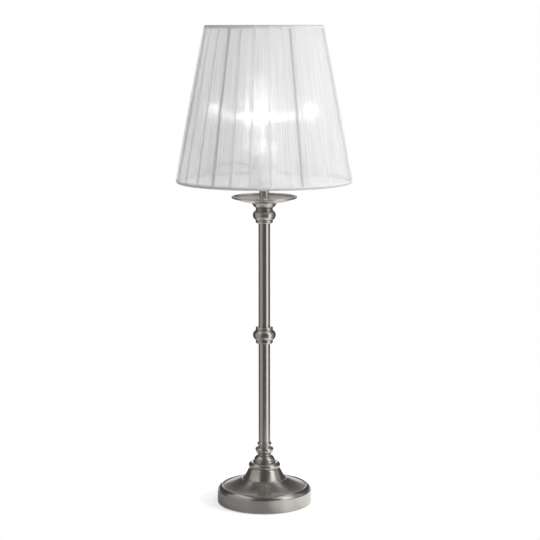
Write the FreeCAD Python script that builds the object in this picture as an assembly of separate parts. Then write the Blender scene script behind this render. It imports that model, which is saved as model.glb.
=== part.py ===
import FreeCAD, Part
import math
import os

# Candlestick table lamp: a weighted round base, a turned two-stage column with a drip pan,
# a candle bulb in a threaded lampholder and a conical shade of knife-pleated sheer cloth.
# Millimetres, +Z up. The origin is the centre of the underside, on the table.
# The front faces -Y, and the cord inlet is at the back, towards +Y.

# Fits
running_fit = 0.05            # radial play of a piece that slides or turns on another
loose_fit = 0.2               # radial play of a clearance hole round the threaded rod
socket_fit = 0.1              # radial play of a tube in its socket

# Base: felt, cast weight and pressed shell
felt_thickness = 1.5
shell_wall = 1.2
shell_lift = 0.8              # the shell's lower edge stands this far above the table
rim_radius = 55.4
rim_top = 16.4                # top of the upright rim above the table
rim_edge_round = 0.5
bead_step = 0.4               # small ledge between the upright rim and the bead
bead_width = 5.8
bead_height = 4.5
bead_crest_in = 4.3           # crest of the bead, in from its outer edge
bead_shoulder_in = 1.6        # a point on its rise, in from the outer edge
bead_shoulder_up = 2.9        # and up from its foot
bead_inner_drop = 0.7         # the bead's inner edge lies this far under its crest
bead_inner_round = 0.15       # sag of the round from the crest to the inner edge
dish_rise = 8.8               # from the bead's inner edge up to the seat of the bell
dish_sag = 0.8                # how far the dish hollows below a straight slope
bell_foot_radius = 25.5
bell_seat_margin = 1.0        # flat ring that shows round the bell's foot
weight_gap = 1.0              # between the weight and the shell round it
weight_height = 14.5          # thickness of the cast disc at its edge
weight_crown = 1.6            # rise of the cast disc towards its boss
weight_boss_radius = 16.0
weight_boss_fillet = 2.0
recess_radius = 13.5
recess_roof = 13.0            # depth of the nut's recess above the weight's underside

# Cord inlet: bush in the rim's back and channel under the weight
inlet_height = 8.4
inlet_radius = 3.3
bush_radius = 4.4
bush_flange_radius = 5.6
bush_flange = 1.6
channel_width = 9.0
bush_pocket_gap = 0.8

# Threaded rod that clamps the whole column, M10 x 1 shown at its mean diameter
rod_radius = 4.9
rod_bore_radius = 3.75
nut_flats = 14.0
nut_height = 4.0
rod_tail = 2.0                # rod below the nut
washer_radius = 12.0
washer_thickness = 1.5
lock_washer_radius = 8.5
lock_washer_thickness = 1.8
lock_washer_teeth = 10
lock_tooth_depth = 1.4

# Bell
bell_height = 19.8
bell_waist_radius = 18.6
bell_waist_height = 12.2
bell_ring_radius = 18.8
bell_ring_height = 6.8
bell_ring_neck = 0.7          # depth of the step under the ring
bell_shoulder = 4.0           # radius of the round from the ring to the flat top
bell_wall = 2.0
bell_foot_band = 0.9          # thin upright band at the bell's foot
bell_foot_ledge = 1.1         # ledge from the band in to the flare
bell_flare_across = 0.54      # middle of the flare, as a share of its width
bell_flare_up = 0.46          # and of its height

# Foot of the column
foot_base_radius = 13.1
foot_base_height = 2.2
foot_step_radius = 12.1
foot_step_height = 4.1        # top of the stepped fillet above the foot's underside
foot_fillet = 0.3             # how far each fillet's edges draw in
foot_round_height = 8.2       # top of the quarter round above the foot's underside
foot_round_across = 1.5       # middle of the quarter round, in from the step
foot_round_down = 2.0         # and down from its top
foot_neck_radius = 7.3
foot_collar_radius = 10.6
foot_collar_low = 9.1         # the collar's lower edge above the foot's underside
foot_collar_wide = 14.9       # its widest place above the foot's underside
foot_collar_top = 18.1        # its upper edge above the foot's underside
foot_bead_radius = 8.3
foot_bead_height = 4.2
foot_height = 23.8

# Tubes of the column
tube_radius = 6.75
tube_wall = 1.0
tube_socket = 2.6             # depth of the socket at each end of a tube
lower_reach = 118.9           # length of the lower tube that shows
upper_reach = 122.1           # length of the upper tube that shows

# Knops: a ball between two beads, each bead and ball meeting at a narrow groove
ball_radius = 13.35
ball_height = 11.7
ball_groove_radius = 9.6
bead_radius = 10.1
bead_end_radius = 9.2
middle_low_bead = 4.0
middle_top_bead = 3.9
top_low_bead = 3.25
top_top_bead = 2.05

# Drip pan and the cup that carries it
cup_height = 7.8
cup_base_radius = 9.4
cup_waist_radius = 10.1
cup_waist_height = 0.6
cup_rim_radius = 14.8
cup_rim_band = 0.8
cup_flare_across = 0.6        # middle of the flare, as a share of its width
cup_flare_up = 0.42           # and of the cup's height
pan_sheet = 1.0
pan_floor_radius = 24.0
pan_radius = 37.9
pan_rim_height = 5.2          # centre of the rolled rim above the pan's underside
pan_rim_roll = 1.4
pan_sag = 0.9

# Spacer tube above the pan
stem_radius = 5.7
stem_bore_radius = 5.1
stem_length = 16.0

# Lampholder for a small-screw candle bulb
cap_collar_radius = 7.2
cap_collar_height = 3.5
cap_radius = 13.7
cap_height = 16.0
cap_floor = 8.0               # depth of the threaded nose that takes the rod
cap_wall = 1.8
cap_round = 7.0               # height of the round from the collar out to the cap's side
cap_round_in = 2.0            # middle of the round, in from the side
cap_round_up = 2.2            # and up from the collar
sleeve_radius = 14.0
sleeve_height = 34.0
sleeve_spigot = 3.5
sleeve_chamfer = 0.6
flange_radius = 17.0
flange_height = 6.0           # flange's underside above the foot of the sleeve
flange_thickness = 2.5
core_radius = 10.8
core_height = 36.0
core_cavity = 7.0
core_cavity_radius = 7.6
core_web = 6.0
core_mouth_chamfer = 1.4
core_ledge = 0.25             # the ledge under the screw shell reaches in past it
shell_step = 3.0              # ledge under the screw shell, above the web
screw_radius = 7.05
screw_sheet = 0.4
screw_length = 19.0
contact_rise = 2.5            # top of the sprung centre contact above the web
contact_sheet = 0.5
contact_foot_end = 6.0        # far end of the spring's foot from the axis
contact_ramp_foot = 4.2       # where its ramp starts
contact_ramp_top = 2.0        # and ends
contact_ramp_lean = 0.2       # the bent sheet's upper face stands this far back
contact_tip = 2.6             # near end, past the axis
contact_width = 4.0
side_contact_depth = 5.5      # how deep the side contact reaches into the web
terminal_spacing = 9.0
terminal_head_radius = 2.6
terminal_head_height = 2.0
terminal_shank_radius = 1.4
terminal_shank_length = 4.5

# Shade ring that clamps the shade's carrier on the sleeve
ring_flange_radius = 21.0
ring_flange_thickness = 2.0
ring_collar_radius = 16.6
ring_height = 6.0
ring_grips = 12
ring_grip_radius = 1.3

# Shade: frame of round wire, carrier and pleated cloth
shade_height = 180.0
shade_drop = 19.5             # the shade's lower edge below the seat of its carrier
shade_top_radius = 66.2       # to the middle of the top wire ring
shade_bottom_radius = 99.6    # to the middle of the bottom wire ring
shade_wire = 1.4              # radius of the ring wires
strut_wire = 1.2
strut_count = 6
first_strut = -34.5           # degrees from the front, positive to the right
cloth_layer = 0.5             # thinnest cloth over the wires: one pleat's face and the lining
cloth_fit = 0.2               # between the cloth and the wires inside it
cloth_lap = 1.0               # how far the cloth draws in where it laps a wire ring
pleat_count = 28
pleat_rise = 1.2              # each folded edge stands this far out, over the layers under it
first_pleat = 5.4             # degrees of the first folded edge from the front, to the right
carrier_bore = 14.4
carrier_radius = 23.0
carrier_sheet = 1.5
arm_wire = 1.5
arm_count = 3
arm_flat = 24.0               # straight run of an arm out from the carrier
arm_bend = 40.0               # radius of the arm's bend
arm_hole_fit = 0.1

# Candle bulb, 35 mm across
bulb_length = 98.0
bulb_radius = 17.5
bulb_wide_height = 53.5       # widest place above the tip of the contact
bulb_tip_radius = 2.6
bulb_tip_spread = 62.0        # the ball of the tip ends at this angle from its top
bulb_tip_flat = 10.0          # and a small flat takes the rest
bulb_glass_wall = 0.7
bulb_contact_radius = 2.4
bulb_contact_height = 1.7
bulb_insulator_height = 1.5
bulb_insulator_radius = 5.6
bulb_insulator_foot = 3.2     # radius of the insulator round the contact
bulb_cap_top = 26.1           # top of the cap's skirt above the tip of the contact
bulb_skirt_radius = 8.4
bulb_skirt_seat = 0.7         # the glass stands this far inside the top of the skirt
bulb_thread_top = 20.5
bulb_cap_sheet = 0.5
bulb_cap_rise = 1.4           # height of the cone from the insulator out to the thread
bulb_cap_lip = 2.0            # the cap's floor laps the insulator this far
bulb_contact_round = 0.6
bulb_neck_radius = 6.3
stem_foot_height = 8.5        # foot of the inner glass stem above the tip of the contact
stem_glass_radius = 2.3
stem_flare_height = 9.0       # height of the flare from the neck in to the stem
stem_edge = 1.0               # rim of the flare and round of the stem's top
stem_glass_top = 46.0
filament_height = 60.0
filament_half_span = 6.5
filament_sag = 2.5
filament_radius = 0.45
lead_radius = 0.3
lead_start = 1.2

# Heights above the table, each piece standing on the one before
weight_base = felt_thickness
bead_base = rim_top
bead_top = bead_base + bead_height
dish_edge = bead_top - bead_inner_drop
bell_base = dish_edge + dish_rise
foot_base = bell_base + bell_height
lower_tube_base = foot_base + foot_height - tube_socket
middle_knop_base = foot_base + foot_height + lower_reach
middle_knop_height = middle_low_bead + ball_height + middle_top_bead
upper_tube_base = middle_knop_base + middle_knop_height - tube_socket
top_knop_base = middle_knop_base + middle_knop_height + upper_reach
top_knop_height = top_low_bead + ball_height + top_top_bead
cup_base = top_knop_base + top_knop_height
pan_base = cup_base + cup_height
stem_base = pan_base + pan_sheet
cap_base = stem_base + stem_length
sleeve_base = cap_base + cap_height
core_base = cap_base + cap_floor
web_base = core_base + core_cavity
web_top = web_base + core_web
contact_top = web_top + contact_rise
carrier_base = sleeve_base + flange_height + flange_thickness
shade_base = carrier_base - shade_drop
roof_base = weight_base + recess_roof
washer_base = roof_base - washer_thickness
lock_washer_base = washer_base - lock_washer_thickness
nut_base = lock_washer_base - nut_height
rod_base = nut_base - rod_tail
rod_top = cap_base + cap_floor

origin = FreeCAD.Vector(0, 0, 0)
up = FreeCAD.Vector(0, 0, 1)


def vector(r, z):
    return FreeCAD.Vector(r, 0, z)


def line_path(path):
    """Edges through (r, z) corners; (r_mid, z_mid, r, z) is an arc through a middle point."""
    edges = []
    here = vector(*path[0])
    for step in path[1:]:
        end = vector(*step[-2:])
        if len(step) == 4:
            edges.append(Part.Arc(here, vector(*step[:2]), end).toShape())
        else:
            edges.append(Part.LineSegment(here, end).toShape())
        here = end
    return edges


def turned(path):
    """Solid of revolution about Z of a closed section."""
    edges = line_path(path)
    edges.append(Part.LineSegment(vector(*path[-1][-2:]), vector(*path[0])).toShape())
    return Part.Face(Part.Wire(edges)).revolve(origin, up, 360)


def spun(path, sheet):
    """Sheet spun about Z; a path drawn from the rim inwards has its sheet below, or above if negative."""
    section = Part.Wire(line_path(path)).makeOffset2D(sheet, join=0, fill=True, openResult=True)
    return section.Faces[0].revolve(origin, up, 360)


def disc(radius, low, high):
    return Part.makeCylinder(radius, high - low, vector(0, low), up)


def hoop(outer, inner, low, high):
    return disc(outer, low, high).cut(disc(inner, low, high))


def box(width, depth, height, x, y, z):
    """Block centred on x and y, standing on z."""
    corner = FreeCAD.Vector(x - width / 2, y - depth / 2, z)
    return Part.makeBox(width, depth, height, corner)


def around(shape, angle):
    """Copy turned about Z by an angle in degrees, positive from the front towards the right."""
    turned_copy = shape.copy()
    turned_copy.rotate(origin, up, angle)
    return turned_copy


def upright_arc(wide, wide_z, end, end_z):
    """Middle point of the arc that is upright at its widest place and runs to another point."""
    across = wide - end
    along = end_z - wide_z
    radius = (across ** 2 + along ** 2) / (2 * abs(across))
    centre = wide - math.copysign(radius, across)
    half = math.asin(along / radius) / 2
    return centre + math.copysign(radius, across) * math.cos(half), wide_z + radius * math.sin(half)


# ---- Base ----

def rim_outline():
    """Outer line of the pressed shell, from its lower edge to the rod's hole."""
    turn = rim_edge_round * (1 - math.sqrt(0.5))
    ledge = rim_radius - rim_edge_round
    bead_foot = ledge - bead_step
    bead_crest = bead_foot - bead_crest_in
    bead_inner = bead_foot - bead_width
    seat = bell_foot_radius + bell_seat_margin
    middle = (bead_inner + seat) / 2
    return [(rim_radius, shell_lift),
            (rim_radius, rim_top - rim_edge_round),
            (rim_radius - turn, rim_top - turn, ledge, rim_top),
            (bead_foot, bead_base),
            (bead_foot - bead_shoulder_in, bead_base + bead_shoulder_up, bead_crest, bead_top),
            ((bead_crest + 2 * bead_inner) / 3, bead_top - bead_inner_round, bead_inner, dish_edge),
            (middle, dish_edge + dish_rise / 2 - dish_sag, seat, bell_base),
            (rod_radius + loose_fit, bell_base)]


def base_shell():
    shell = spun(rim_outline(), shell_wall)
    return shell.cut(inlet_bar(bush_radius, rim_radius - 3 * shell_wall, rim_radius + shell_wall))


def inlet_bar(radius, near, far):
    """Round bar along +Y at the cord inlet's height."""
    start = FreeCAD.Vector(0, near, inlet_height)
    return Part.makeCylinder(radius, far - near, start, FreeCAD.Vector(0, 1, 0))


def base_weight():
    outer = rim_radius - shell_wall - weight_gap
    under_seat = bell_base - shell_wall
    edge_top = weight_base + weight_height - 2 * weight_gap
    shoulder = outer - bead_width
    crown = edge_top + 2 * weight_gap + weight_crown
    weight = turned([(rod_radius + loose_fit, weight_base),
                     (outer, weight_base),
                     (outer, edge_top),
                     (shoulder, edge_top + 2 * weight_gap),
                     (weight_boss_radius + weight_boss_fillet, crown),
                     (weight_boss_radius, crown + weight_boss_fillet),
                     (weight_boss_radius, under_seat),
                     (rod_radius + loose_fit, under_seat)])
    weight = weight.cut(disc(recess_radius, weight_base, roof_base))
    channel_top = inlet_height + channel_width / 2
    weight = weight.cut(box(channel_width, outer, channel_top - weight_base, 0, outer / 2, weight_base))
    pocket_radius = bush_flange_radius + bush_pocket_gap
    pocket = inlet_bar(pocket_radius, outer - bush_flange - bush_pocket_gap, outer + 1)
    return weight.cut(pocket)


def felt_pad():
    return disc(rim_radius - shell_wall - weight_gap, 0, felt_thickness)


def cord_grommet():
    """Bush snapped into the rim: a flange outside, another inside and the bore for the cord."""
    inner_face = rim_radius - shell_wall
    outside = inlet_bar(bush_flange_radius, inner_face, rim_radius + bush_flange)
    outside = outside.cut(disc(rim_radius, 0, rim_top))
    inside = inlet_bar(bush_flange_radius, inner_face - bush_flange, rim_radius)
    inside = inside.common(disc(inner_face, 0, rim_top))
    barrel = inlet_bar(bush_radius, inner_face - bush_flange, rim_radius + bush_flange)
    bush = barrel.fuse([outside, inside]).removeSplitter()
    return bush.cut(inlet_bar(inlet_radius, inner_face - 2 * bush_flange, rim_radius + 2 * bush_flange))


def base_washer():
    return hoop(washer_radius, rod_radius + loose_fit, washer_base, roof_base)


def base_lock_washer():
    """Toothed lock washer with its teeth pointing outwards."""
    washer = hoop(lock_washer_radius, rod_radius + loose_fit, lock_washer_base, washer_base)
    gap_width = math.pi * lock_washer_radius / lock_washer_teeth
    notch = box(gap_width, 2 * lock_tooth_depth, lock_washer_thickness, 0, lock_washer_radius,
                lock_washer_base)
    notches = [around(notch, 360 / lock_washer_teeth * n) for n in range(lock_washer_teeth)]
    return washer.cut(notches)


def base_nut():
    corner_radius = nut_flats / math.sqrt(3)
    corners = [FreeCAD.Vector(corner_radius * math.cos(math.radians(60 * n)),
                              corner_radius * math.sin(math.radians(60 * n)), nut_base)
               for n in range(7)]
    prism = Part.Face(Part.makePolygon(corners)).extrude(up * nut_height)
    return prism.cut(disc(rod_radius + running_fit, nut_base, lock_washer_base))


def threaded_tube():
    return hoop(rod_radius, rod_bore_radius, rod_base, rod_top)


def base_bell():
    """Hollow bell: banded foot, flared skirt, waist and a ring that rounds into the flat top."""
    top = bell_base + bell_height
    ring_low = top - bell_ring_height
    ring_wide = top - bell_shoulder
    ring_neck = bell_ring_radius - bell_ring_neck
    shoulder = bell_ring_radius - bell_shoulder
    waist = bell_base + bell_waist_height
    foot = bell_foot_radius
    band_top = bell_base + bell_foot_band
    flare_middle = (foot - (foot - bell_waist_radius) * bell_flare_across,
                    bell_base + bell_waist_height * bell_flare_up)
    outside = turned([(rod_radius + loose_fit, bell_base),
                      (foot, bell_base),
                      (foot, band_top),
                      (foot - bell_foot_ledge, band_top + bell_foot_ledge / 2),
                      (*flare_middle, bell_waist_radius, waist),
                      (ring_neck, ring_low),
                      (*upright_arc(bell_ring_radius, ring_wide, ring_neck, ring_low),
                       bell_ring_radius, ring_wide),
                      (*upright_arc(bell_ring_radius, ring_wide, shoulder, top), shoulder, top),
                      (rod_radius + loose_fit, top)])
    hollow = turned([(0, bell_base),
                     (foot - bell_wall, bell_base),
                     (flare_middle[0] - bell_wall, flare_middle[1],
                      bell_waist_radius - 2 * bell_wall, waist),
                     (bell_waist_radius - 2 * bell_wall, top - bell_wall),
                     (0, top - bell_wall)])
    return outside.cut(hollow)


# ---- Column ----

def column_foot():
    """Turned foot: stepped base, quarter round, swelling collar between two necks and a bead."""
    bore = rod_radius + loose_fit
    base = foot_base
    base_top = base + foot_base_height
    step_top = base + foot_step_height
    round_top = base + foot_round_height
    collar_low = base + foot_collar_low
    collar_wide = base + foot_collar_wide
    collar_top = base + foot_collar_top
    bead_low = base + foot_height - foot_bead_height
    top = base + foot_height
    neck = foot_neck_radius
    piece = turned([(bore, base),
                    (foot_base_radius - foot_fillet, base),
                    (foot_base_radius, base + foot_base_height / 2,
                     foot_base_radius - foot_fillet, base_top),
                    (foot_step_radius - foot_fillet, base_top + foot_fillet),
                    (foot_step_radius, (base_top + foot_fillet + step_top) / 2,
                     foot_step_radius - foot_fillet, step_top),
                    (foot_step_radius - foot_round_across, round_top - foot_round_down,
                     neck, round_top),
                    (neck, collar_low),
                    (*upright_arc(foot_collar_radius, collar_wide, neck, collar_low),
                     foot_collar_radius, collar_wide),
                    (*upright_arc(foot_collar_radius, collar_wide, neck, collar_top), neck, collar_top),
                    (neck, bead_low),
                    (foot_bead_radius, bead_low + foot_bead_height / 2, neck, top),
                    (bore, top)])
    return piece.cut(disc(tube_radius + socket_fit, lower_tube_base, top))


def column_tube(base, reach):
    """Plain tube seated in a socket at each end."""
    return hoop(tube_radius, tube_radius - tube_wall, base, base + reach + 2 * tube_socket)


def knop(base, low_bead, top_bead):
    """Solid turned knop: bead, ball and bead, from the foot of the lower bead."""
    ball_low = base + low_bead
    ball_top = ball_low + ball_height
    top = ball_top + top_bead
    return turned([(rod_radius + loose_fit, base),
                   (bead_end_radius, base),
                   (bead_radius, base + low_bead / 2, ball_groove_radius, ball_low),
                   (ball_radius, ball_low + ball_height / 2, ball_groove_radius, ball_top),
                   (bead_radius, ball_top + top_bead / 2, bead_end_radius, top),
                   (rod_radius + loose_fit, top)])


def middle_knop():
    piece = knop(middle_knop_base, middle_low_bead, middle_top_bead)
    socket = tube_radius + socket_fit
    piece = piece.cut(disc(socket, middle_knop_base, middle_knop_base + tube_socket))
    return piece.cut(disc(socket, upper_tube_base, upper_tube_base + tube_socket))


def top_knop():
    piece = knop(top_knop_base, top_low_bead, top_top_bead)
    return piece.cut(disc(tube_radius + socket_fit, top_knop_base, top_knop_base + tube_socket))


# ---- Drip pan and stem ----

def pan_cup():
    """Flared cup under the pan."""
    top = cup_base + cup_height
    band = top - cup_rim_band
    flare_middle = (cup_waist_radius + (cup_rim_radius - cup_waist_radius) * cup_flare_across,
                    cup_base + cup_height * cup_flare_up)
    return turned([(rod_radius + loose_fit, cup_base),
                   (cup_base_radius, cup_base),
                   (cup_waist_radius, cup_base + cup_waist_height),
                   (*flare_middle, cup_rim_radius, band),
                   (cup_rim_radius, top),
                   (rod_radius + loose_fit, top)])


def drip_pan():
    """Shallow spun pan with a rolled rim."""
    roll_centre = pan_radius - pan_rim_roll
    roll_z = pan_base + pan_rim_height
    slope_r = (pan_floor_radius + roll_centre) / 2
    slope_z = pan_base + pan_rim_height / 2 - pan_sag
    pan = spun([(roll_centre, roll_z - pan_rim_roll),
                (slope_r, slope_z, pan_floor_radius, pan_base),
                (rod_radius + loose_fit, pan_base)], -pan_sheet)
    roll = Part.makeTorus(roll_centre, pan_rim_roll, vector(0, roll_z), up)
    return pan.fuse(roll).removeSplitter()


def holder_stem():
    return hoop(stem_radius, stem_bore_radius, stem_base, cap_base)


# ---- Lampholder ----

def holder_cap():
    """Lower half of the lampholder, screwed on the rod by its nose."""
    nose = rod_radius + running_fit
    collar_top = cap_base + cap_collar_height
    top = sleeve_base
    floor = cap_base + cap_floor
    inside = cap_radius - cap_wall
    return turned([(nose, cap_base),
                   (cap_collar_radius, cap_base),
                   (cap_collar_radius, collar_top),
                   (cap_radius - cap_round_in, collar_top + cap_round_up,
                    cap_radius, collar_top + cap_round),
                   (cap_radius, top),
                   (inside, top),
                   (inside, floor),
                   (nose, floor)])


def holder_sleeve():
    """Upper half of the lampholder, with the flange that carries the shade."""
    low = sleeve_base - sleeve_spigot
    flange_low = sleeve_base + flange_height
    top = sleeve_base + sleeve_height
    inside = core_radius + 3 * running_fit
    spigot = cap_radius - cap_wall - running_fit
    return turned([(inside, low),
                   (spigot, low),
                   (spigot, sleeve_base),
                   (sleeve_radius, sleeve_base),
                   (sleeve_radius, flange_low),
                   (flange_radius, flange_low),
                   (flange_radius, carrier_base),
                   (sleeve_radius, carrier_base),
                   (sleeve_radius, top - sleeve_chamfer),
                   (sleeve_radius - sleeve_chamfer, top),
                   (inside, top)])


def holder_core():
    """Insulating core with a well for the screw shell and a cavity for the terminals."""
    well = screw_radius + screw_sheet + running_fit
    ledge = web_top + shell_step
    top = core_base + core_height
    core = turned([(core_cavity_radius, core_base),
                   (core_radius, core_base),
                   (core_radius, top),
                   (well + core_mouth_chamfer, top),
                   (well, top - core_mouth_chamfer),
                   (well, ledge),
                   (screw_radius - core_ledge, ledge),
                   (screw_radius - core_ledge, web_top),
                   (0, web_top),
                   (0, web_base),
                   (core_cavity_radius, web_base)])
    slot = side_strip(arm_hole_fit)
    screws = [disc(terminal_shank_radius + running_fit, web_base, web_base + terminal_shank_length)
              .translated(FreeCAD.Vector(0, side * terminal_spacing / 2, 0)) for side in (-1, 1)]
    return core.cut([slot] + screws)


def side_strip(margin):
    """Strip that feeds the screw shell from below, grown by a margin to cut its slot."""
    middle = screw_radius + screw_sheet / 2
    low = web_top - side_contact_depth - margin
    return box(contact_sheet + 2 * margin, contact_width + 2 * margin,
               web_top + shell_step - low, middle, 0, low)


def side_contact():
    return side_strip(0)


def screw_shell():
    base = web_top + shell_step
    return hoop(screw_radius + screw_sheet, screw_radius, base, base + screw_length)


def centre_contact():
    """Bent spring strip: a foot on the web, a ramp and the flat that the bulb presses on."""
    rise = contact_rise - contact_sheet
    foot = -contact_foot_end
    ramp = -contact_ramp_foot
    flat = -contact_ramp_top
    tip = contact_tip
    lean = contact_ramp_lean
    outline = [(foot, 0), (ramp, 0), (flat, rise), (tip, rise), (tip, contact_rise),
               (flat - lean, contact_rise), (ramp - lean, contact_sheet), (foot, contact_sheet), (foot, 0)]
    points = [FreeCAD.Vector(x, -contact_width / 2, web_top + z) for x, z in outline]
    return Part.Face(Part.makePolygon(points)).extrude(FreeCAD.Vector(0, contact_width, 0))


def terminal_screws():
    shank = disc(terminal_shank_radius, web_base, web_base + terminal_shank_length)
    head = disc(terminal_head_radius, web_base - terminal_head_height, web_base)
    screw = shank.fuse(head)
    return Part.makeCompound([screw.translated(FreeCAD.Vector(0, side * terminal_spacing / 2, 0))
                              for side in (-1, 1)])


def shade_ring():
    """Threaded ring with a scalloped grip, screwed down on the shade's carrier."""
    low = carrier_base + carrier_sheet
    bore = sleeve_radius + 2 * running_fit
    ring = turned([(bore, low),
                   (ring_flange_radius, low),
                   (ring_flange_radius, low + ring_flange_thickness),
                   (ring_collar_radius, low + ring_flange_thickness),
                   (ring_collar_radius, low + ring_height),
                   (bore, low + ring_height)])
    grip = Part.makeCylinder(ring_grip_radius, ring_height, vector(ring_flange_radius, low), up)
    return ring.cut([around(grip, 360 / ring_grips * n) for n in range(ring_grips)])


# ---- Shade ----

def ring_heights():
    """Heights of the bottom and top wire rings, inside the cloth that laps them."""
    lap = shade_wire + cloth_fit + cloth_layer
    return shade_base + lap, shade_base + shade_height - lap


def ring_centres():
    """Middles of the two ring wires, in the plane y = 0."""
    low, high = ring_heights()
    return vector(shade_bottom_radius, low), vector(shade_top_radius, high)


def wire_corners(centre, radius):
    """Corners of an eight-sided wire section, one flat of which is square to the shade's slope."""
    low, high = ring_centres()
    along = (high - low).normalize()
    out = FreeCAD.Vector(along.z, 0, -along.x)
    reach = radius / math.cos(math.pi / 8)
    turns = [math.pi / 8 + math.pi / 4 * n for n in range(8)]
    return [centre + (out * math.cos(turn) + along * math.sin(turn)) * reach for turn in turns]


def swept_round(corners):
    """Ring whose section is a polygon in the plane y = 0."""
    return Part.Face(Part.makePolygon(corners + corners[:1])).revolve(origin, up, 360)


def shade_bottom_ring():
    return swept_round(wire_corners(ring_centres()[0], shade_wire))


def shade_top_ring():
    return swept_round(wire_corners(ring_centres()[1], shade_wire))


def shade_struts():
    """Straight wires butted on the two rings, where they are welded."""
    foot, head = ring_centres()
    run = head - foot
    length = run.Length - 2 * shade_wire
    strut = Part.makeCylinder(strut_wire, length, foot + run.normalize() * shade_wire, run)
    return Part.makeCompound([around(strut, first_strut - 90 + 360 / strut_count * n)
                              for n in range(strut_count)])


def slope_reach(z):
    """Distance from the axis to the line through the middles of both ring wires."""
    foot, head = ring_centres()
    return foot.x + (head.x - foot.x) * (z - foot.z) / (head.z - foot.z)


def pleat_outline(z, drawn_in):
    """Saw-tooth outline of the pleats: each swells to its folded edge and drops to the next one's foot."""
    foot = slope_reach(z) + shade_wire + cloth_fit + cloth_layer - drawn_in
    fold = foot * (1 + pleat_rise / shade_bottom_radius)
    width = 360 / pleat_count
    corners = []
    for n in range(pleat_count):
        start = first_pleat - 90 + width * n
        for reach, angle in ((foot, start), ((foot + fold) / 2, start + width / 2), (fold, start + width)):
            turn = math.radians(angle)
            corners.append(FreeCAD.Vector(reach * math.cos(turn), reach * math.sin(turn), z))
    return Part.makePolygon(corners + corners[:1])


def wire_space():
    """Closed space inside the cloth for both rings and the struts between them."""
    low, high = ring_centres()
    room = shade_wire + cloth_fit
    return swept_round(wire_corners(high, room)[:4] + wire_corners(low, room)[4:])


def shade_cover():
    """Knife-pleated cloth lapped over both rings, with a smooth lining on its inner face."""
    low = shade_base
    high = shade_base + shade_height
    lining = shade_wire + cloth_fit + cloth_layer
    pleats = Part.makeLoft([pleat_outline(low, cloth_lap),
                            pleat_outline(low + cloth_lap, 0),
                            pleat_outline(high - cloth_lap, 0),
                            pleat_outline(high, cloth_lap)], True, True)
    hollow = turned([(0, low),
                     (slope_reach(low) - lining + cloth_lap, low),
                     (slope_reach(low + cloth_lap) - lining, low + cloth_lap),
                     (slope_reach(high - cloth_lap) - lining, high - cloth_lap),
                     (slope_reach(high) - lining + cloth_lap, high),
                     (0, high)])
    return pleats.cut(hollow).cut(wire_space()).cut(arm_wires(arm_wire + arm_hole_fit))


def carrier_ring():
    return hoop(carrier_radius, carrier_bore, carrier_base, carrier_base + carrier_sheet)


def arm_wires(radius):
    """Arms as bent wires in their radial planes, before they are coped to what they join."""
    level = carrier_base + carrier_sheet / 2
    foot = ring_centres()[0]
    start = vector(carrier_bore + 1, level)
    bend_start = vector(carrier_radius + arm_flat, level)
    centre = bend_start - up * arm_bend
    away = foot - centre
    reach = away.Length
    turn = math.atan2(away.x, away.z) - math.acos(arm_bend / reach)
    half = turn / 2
    bend_middle = centre + vector(math.sin(half), math.cos(half)) * arm_bend
    bend_end = centre + vector(math.sin(turn), math.cos(turn)) * arm_bend
    path = Part.Wire([Part.LineSegment(start, bend_start).toShape(),
                      Part.Arc(bend_start, bend_middle, bend_end).toShape(),
                      Part.LineSegment(bend_end, foot).toShape()])
    circle = Part.Wire(Part.makeCircle(radius, start, FreeCAD.Vector(1, 0, 0)))
    arm = path.makePipeShell([circle], True, False)
    first_arm = first_strut - 90 + 180 / strut_count
    return [around(arm, first_arm + 360 / arm_count * n) for n in range(arm_count)]


def carrier_arms():
    """Three arms from the carrier to the bottom ring, hidden inside the shade."""
    hub = disc(carrier_radius, carrier_base - 2 * arm_wire, carrier_base + 3 * arm_wire)
    ring = shade_bottom_ring()
    arms = [max(arm.cut([hub, ring]).Solids, key=lambda solid: solid.Volume)
            for arm in arm_wires(arm_wire)]
    return Part.makeCompound(arms)


# ---- Bulb ----

def on_ball(radius, centre_z, angle):
    """Point on a ball's outline at an angle in degrees from its top."""
    turn = math.radians(angle)
    return radius * math.sin(turn), centre_z + radius * math.cos(turn)


def bulb_outline(wall):
    """Outer line of the candle glass, drawn in by a wall, from its neck up to its tip."""
    wide = bulb_radius - wall
    wide_z = contact_top + bulb_wide_height
    shoulder = bulb_skirt_radius - bulb_skirt_seat - wall
    shoulder_z = contact_top + bulb_cap_top
    tip_ball = bulb_tip_radius - wall / 2
    ball_z = contact_top + bulb_length - wall - tip_ball
    neck = bulb_neck_radius - wall
    foot_z = contact_top + stem_foot_height
    tip = on_ball(tip_ball, ball_z, bulb_tip_spread)
    return [(neck, foot_z),
            (neck, contact_top + bulb_thread_top),
            (shoulder, shoulder_z),
            (*upright_arc(wide, wide_z, shoulder, shoulder_z), wide, wide_z),
            (*upright_arc(wide, wide_z, *tip), *tip),
            (*on_ball(tip_ball, ball_z, bulb_tip_spread / 2), *on_ball(tip_ball, ball_z, bulb_tip_flat)),
            (0, on_ball(tip_ball, ball_z, bulb_tip_flat)[1])]


def bulb_glass():
    outer = bulb_outline(0)
    inner = bulb_outline(bulb_glass_wall)
    foot_z = outer[0][1]
    body = turned([(0, foot_z)] + outer)
    return body.cut(turned([(0, foot_z)] + inner))


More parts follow.
